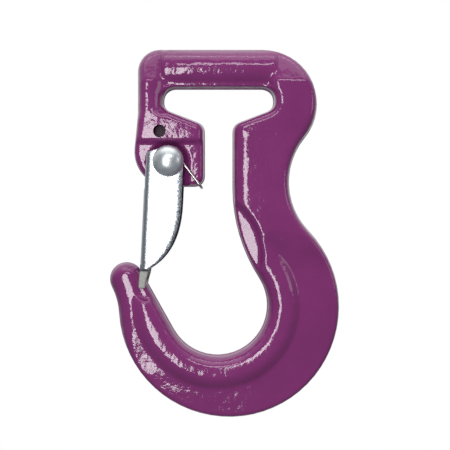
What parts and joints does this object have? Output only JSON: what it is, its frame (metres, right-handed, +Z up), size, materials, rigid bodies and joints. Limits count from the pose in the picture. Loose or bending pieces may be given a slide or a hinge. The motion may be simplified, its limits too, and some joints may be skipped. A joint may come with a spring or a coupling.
{
  "type": "sling hook with latch",
  "caption": "Forged sling hook with a round sling bar, side-entry eye, bowl, and a spring-loaded sheet-metal latch on a domed rivet.",
  "frame": {"origin": "middle of the sling bar's axis in line with the load, above the centre of the bowl", "axes": "+Z up along the load line, away from the bowl; +Y to the back face, across the parting plane; +X towards the shank"},
  "size_m": [0.0874, 0.024, 0.1399],
  "materials": {
    "purple_paint": "glossy powder coat over a forged surface",
    "zinc_plate": "bright zinc plate with slight blue passivation",
    "rivet_steel": "bright, slightly satin zinc plate",
    "spring_steel": "drawn stainless wire"
  },
  "bodies": {
    "root": {"hook_body": "purple_paint", "latch_rivet": "rivet_steel"},
    "latch": {"latch": "zinc_plate", "latch_spring": "spring_steel"}
  },
  "joints": [
    {"name": "latch_hinge", "type": "hinge", "parent": "root", "child": "latch", "pos_m": [-0.0183, 0, -0.0354], "axis": [0, -1, 0], "range_deg": [0, 53], "stiffness_Nm_per_rad": 0.05, "springref_deg": -34.38, "deforming": ["latch_spring"]}
  ]
}
